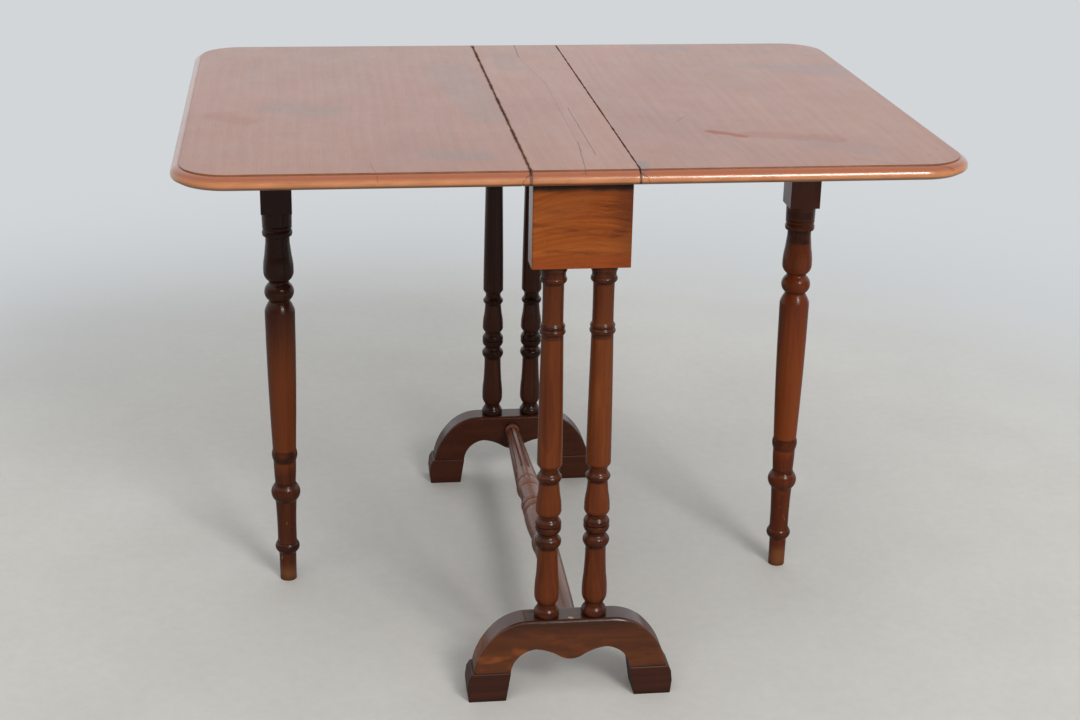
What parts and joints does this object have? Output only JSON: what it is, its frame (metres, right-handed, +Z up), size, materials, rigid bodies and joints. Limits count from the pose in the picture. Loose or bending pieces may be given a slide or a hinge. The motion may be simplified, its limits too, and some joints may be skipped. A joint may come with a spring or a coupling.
{
  "type": "drop-leaf table",
  "caption": "Drop-leaf table: narrow fixed top, two rule-jointed leaves held level by turned swing-out legs, turned end columns on arched feet and a reeded turned stretcher.",
  "frame": {"origin": "on the floor, under the middle of the open table", "axes": "+Z up, Y along the leaf joints, X across the two leaves; the pictured end faces -Y"},
  "size_m": [0.96, 0.76, 0.71],
  "materials": {
    "top_wood": "waxed polish, worn",
    "frame_wood": "french polish",
    "dark_wood": "worn polish",
    "inner_wood": "unpolished, oiled by age",
    "brass": "aged brass",
    "steel": "dull steel"
  },
  "bodies": {
    "frame": {"centre_rail": "inner_wood", "column_back_left": "frame_wood", "column_back_right": "frame_wood", "column_front_left": "frame_wood", "column_front_right": "frame_wood", "end_block_back": "frame_wood", "end_block_front": "frame_wood", "foot_back": "frame_wood", "foot_front": "frame_wood", "gate_pin_left": "steel", "gate_pin_right": "steel", "glue_block_left_far": "inner_wood", "glue_block_left_near": "inner_wood", "glue_block_right_far": "inner_wood", "glue_block_right_near": "inner_wood", "hinge_fixed_left_back": "brass", "hinge_fixed_left_front": "brass", "hinge_fixed_left_middle": "brass", "hinge_fixed_right_back": "brass", "hinge_fixed_right_front": "brass", "hinge_fixed_right_middle": "brass", "hinge_pins": "steel", "knuckle_rail_left": "inner_wood", "knuckle_rail_right": "inner_wood", "packing_block_left": "inner_wood", "packing_block_right": "inner_wood", "stretcher": "frame_wood", "toe_block_back_left": "dark_wood", "toe_block_back_right": "dark_wood", "toe_block_front_left": "dark_wood", "toe_block_front_right": "dark_wood", "top_board": "top_wood"},
    "leaf_left": {"leaf_left": "top_wood", "hinge_strap_left_front": "brass", "hinge_strap_left_middle": "brass", "hinge_strap_left_back": "brass"},
    "gate_left": {"fly_rail_left": "frame_wood", "leg_left": "frame_wood"},
    "leaf_right": {"leaf_right": "top_wood", "hinge_strap_right_front": "brass", "hinge_strap_right_middle": "brass", "hinge_strap_right_back": "brass"},
    "gate_right": {"fly_rail_right": "frame_wood", "leg_right": "frame_wood"}
  },
  "joints": [
    {"name": "gate_left_swing", "type": "hinge", "parent": "frame", "child": "gate_left", "pos_m": [-0.048, 0.0205, 0.646], "axis": [0, 0, 1], "range_deg": [0, 90]},
    {"name": "leaf_left_lift", "type": "hinge", "parent": "frame", "child": "leaf_left", "pos_m": [-0.064, 0, 0.695], "axis": [0, 1, 0], "range_deg": [0, 2.5]},
    {"name": "gate_right_swing", "type": "hinge", "parent": "frame", "child": "gate_right", "pos_m": [0.048, -0.0205, 0.646], "axis": [0, 0, 1], "range_deg": [0, 90]},
    {"name": "leaf_right_lift", "type": "hinge", "parent": "frame", "child": "leaf_right", "pos_m": [0.064, 0, 0.695], "axis": [0, -1, 0], "range_deg": [0, 2.5]}
  ]
}
